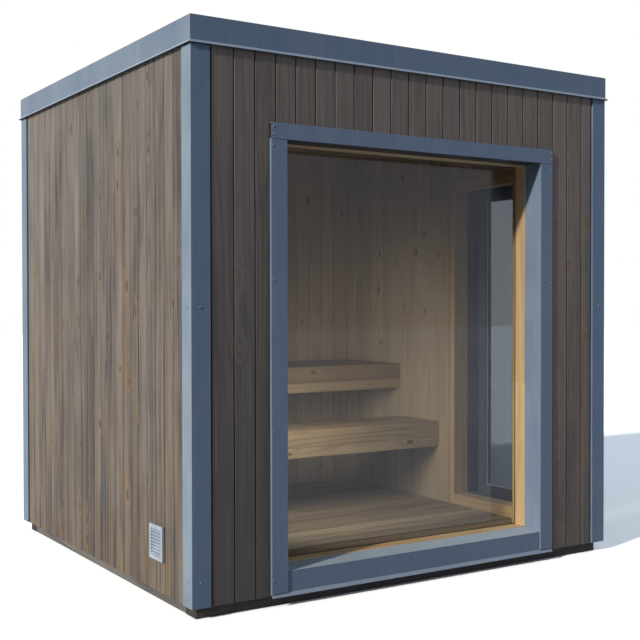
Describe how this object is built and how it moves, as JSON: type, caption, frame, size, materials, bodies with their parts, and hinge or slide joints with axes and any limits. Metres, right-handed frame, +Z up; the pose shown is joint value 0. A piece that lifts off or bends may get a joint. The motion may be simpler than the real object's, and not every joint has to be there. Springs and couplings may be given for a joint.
{
  "type": "outdoor sauna cabin",
  "caption": "Flat-roofed outdoor sauna cabin in upright timber boards with folded metal trims, a deep picture window, a hinged glass door and bench tiers inside.",
  "frame": {"origin": "centre of the underside of the base, on the ground", "axes": "+Z up, +X to the right along the front, +Y from the front to the back"},
  "size_m": [2.3404, 2.1628, 2.384],
  "materials": {
    "dark_timber": "stained",
    "deck_panel": "plain sheet",
    "duckboard_wood": "planed",
    "wall_panel": "framed panel",
    "board_cladding": "weathered boards",
    "lining_wood": "planed boards",
    "roof_slab": "framed panel",
    "roof_membrane": "matte sheet",
    "slate_metal": "satin",
    "frame_wood": "varnished pine",
    "window_glass": "clear",
    "door_metal": "satin",
    "door_glass": "clear",
    "handle_metal": "satin",
    "hinge_steel": "brushed",
    "bench_wood": "planed",
    "vent_metal": "satin"
  },
  "bodies": {
    "cabin": {"base_long_beams": "dark_timber", "base_side_beams": "dark_timber", "floor_joists": "dark_timber", "floor_deck": "deck_panel", "duckboard": "duckboard_wood", "front_wall": "wall_panel", "back_wall": "wall_panel", "left_wall": "wall_panel", "right_wall_front": "wall_panel", "right_wall_rear": "wall_panel", "right_wall_over_door": "wall_panel", "front_cladding": "board_cladding", "back_cladding": "board_cladding", "left_cladding": "board_cladding", "right_cladding": "board_cladding", "front_lining": "lining_wood", "back_lining": "lining_wood", "left_lining": "lining_wood", "right_lining": "lining_wood", "ceiling_lining": "lining_wood", "roof_slab": "roof_slab", "roof_sheet": "roof_membrane", "fascia_front": "slate_metal", "fascia_back": "slate_metal", "fascia_left": "slate_metal", "fascia_right": "slate_metal", "corner_trims": "slate_metal", "window_casing_head": "slate_metal", "window_casing_jambs": "slate_metal", "window_sill": "slate_metal", "window_frame": "frame_wood", "window_glass": "window_glass", "door_reveal": "lining_wood", "door_frame": "door_metal", "door_casing_head": "slate_metal", "door_casing_jambs": "slate_metal", "door_sill": "slate_metal", "hinge_pins": "hinge_steel", "lower_bench": "bench_wood", "upper_bench": "bench_wood", "bench_fascias": "bench_wood", "bench_cleats": "bench_wood", "vent_grille": "vent_metal"},
    "door": {"door_leaf": "door_metal", "door_glass": "door_glass", "door_handles": "handle_metal", "hinge_leaves": "hinge_steel"}
  },
  "joints": [
    {"name": "door_hinge", "type": "hinge", "parent": "cabin", "child": "door", "pos_m": [1.129, -0.1805, 1], "axis": [0, 0, 1], "range_deg": [0, 110]}
  ]
}
